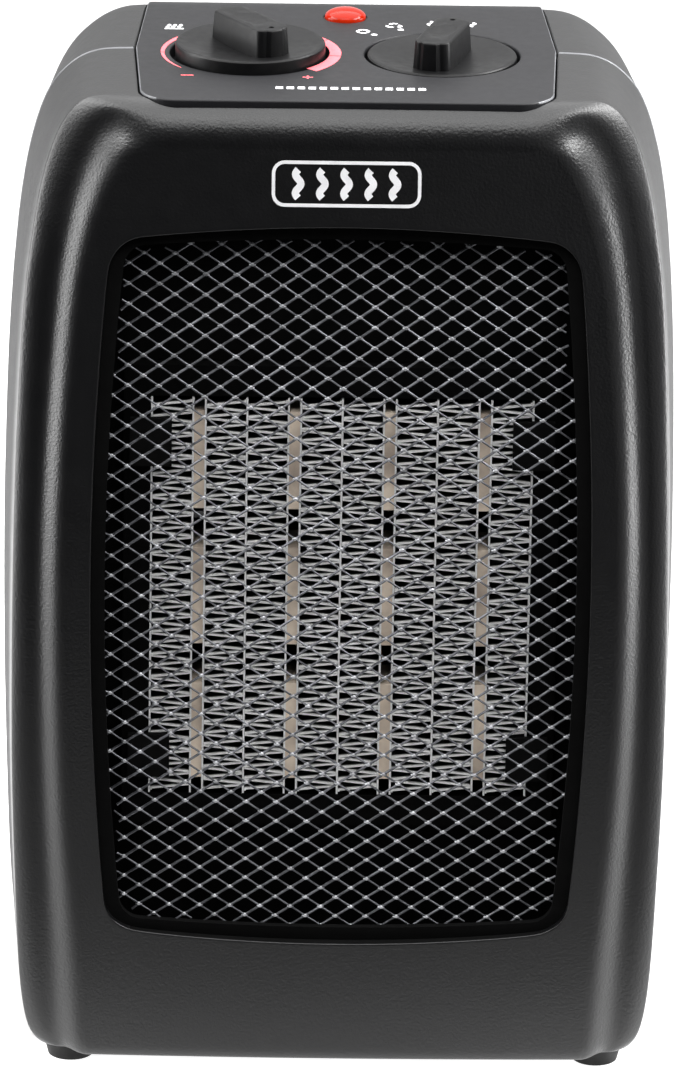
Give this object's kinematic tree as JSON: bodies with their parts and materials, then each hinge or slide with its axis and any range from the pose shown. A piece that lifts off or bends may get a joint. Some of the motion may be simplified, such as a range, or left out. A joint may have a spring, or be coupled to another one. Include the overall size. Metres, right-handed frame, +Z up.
{
  "type": "ceramic space heater",
  "caption": "Free-standing ceramic fan heater in a black two-part housing, with a mesh front grille, thermostat knob, mode knob and indicator lamp on top.",
  "frame": {"origin": "on the floor under the middle of the heater's bounding box", "axes": "+Z up, front grille faces -Y, +X to the right seen from the front"},
  "size_m": [0.1642, 0.13, 0.2496],
  "materials": {
    "housing": "fine satin texture",
    "panel": "fine satin texture",
    "knob": "satin",
    "grille_steel": "dark satin coat over expanded steel",
    "core_aluminium": "bright rolled",
    "core_ceramic": "matt fired",
    "inner_plastic": "matt heat-resistant",
    "fan_plastic": "matt",
    "switch_case": "moulded phenolic",
    "spindle_metal": "turned",
    "lens_red": "clear red moulding",
    "lamp_glass": "clear",
    "terminal_brass": "tinned strip",
    "lamination_steel": "stacked sheet",
    "bracket_steel": "zinc plated",
    "screw_steel": "black oxide",
    "coil_copper": "lacquered winding",
    "foot_rubber": "matt",
    "inlet_rubber": "matt",
    "plunger_plastic": "plain nylon",
    "spring_steel": "drawn wire",
    "print_white": "pad-printed ink",
    "print_red": "pad-printed ink"
  },
  "bodies": {
    "housing": {"front_shell": "housing", "rear_shell": "housing", "control_panel": "panel", "grille_frame": "housing", "front_grille": "grille_steel", "thermostat_body": "switch_case", "mode_switch_body": "switch_case", "indicator_lens": "lens_red", "indicator_lamp": "lamp_glass", "heater_frame": "inner_plastic", "heater_terminals": "terminal_brass", "corner_clips": "inner_plastic", "baffle_plate": "inner_plastic", "thermal_cutoff": "switch_case", "spreader_plates": "core_aluminium", "electrode_plates": "core_aluminium", "fan_duct": "inner_plastic", "motor_stator": "lamination_steel", "motor_coil": "coil_copper", "motor_brackets": "bracket_steel", "motor_screws": "screw_steel", "rubber_feet": "foot_rubber", "shell_screws": "screw_steel", "tip_switch_body": "switch_case", "tip_switch_spring": "spring_steel", "cord_inlet": "inlet_rubber", "fin_bank_1": "core_aluminium", "fin_bank_2": "core_aluminium", "fin_bank_3": "core_aluminium", "fin_bank_4": "core_aluminium", "fin_bank_5": "core_aluminium", "fin_bank_6": "core_aluminium", "fin_bank_7": "core_aluminium", "fin_bank_8": "core_aluminium", "ceramic_column_1": "core_ceramic", "ceramic_column_2": "core_ceramic", "ceramic_column_3": "core_ceramic", "ceramic_column_4": "core_ceramic"},
    "thermostat_dial": {"thermostat_knob": "knob", "thermostat_spindle": "spindle_metal"},
    "mode_dial": {"mode_knob": "knob", "mode_spindle": "spindle_metal"},
    "fan": {"fan_rotor": "fan_plastic", "motor_shaft": "spindle_metal", "motor_rotor": "lamination_steel"},
    "tip_plunger": {"tip_switch_plunger": "plunger_plastic"}
  },
  "joints": [
    {"name": "thermostat_turn", "type": "hinge", "parent": "housing", "child": "thermostat_dial", "pos_m": [-0.023, -0.002, 0.24], "axis": [0, 0, 1], "range_deg": [0, 264]},
    {"name": "mode_turn", "type": "hinge", "parent": "housing", "child": "mode_dial", "pos_m": [0.023, -0.002, 0.24], "axis": [0, 0, 1], "range_deg": [0, 60]},
    {"name": "fan_spin", "type": "hinge", "parent": "housing", "child": "fan", "pos_m": [0, 0.015, 0.118], "axis": [0, 1, 0], "continuous": true},
    {"name": "tip_switch_press", "type": "slide", "parent": "housing", "child": "tip_plunger", "axis": [0, 0, 1], "range_m": [-0.004, 0], "stiffness_N_per_m": 120, "springref_m": -0.006, "deforming": ["tip_switch_spring"]}
  ]
}
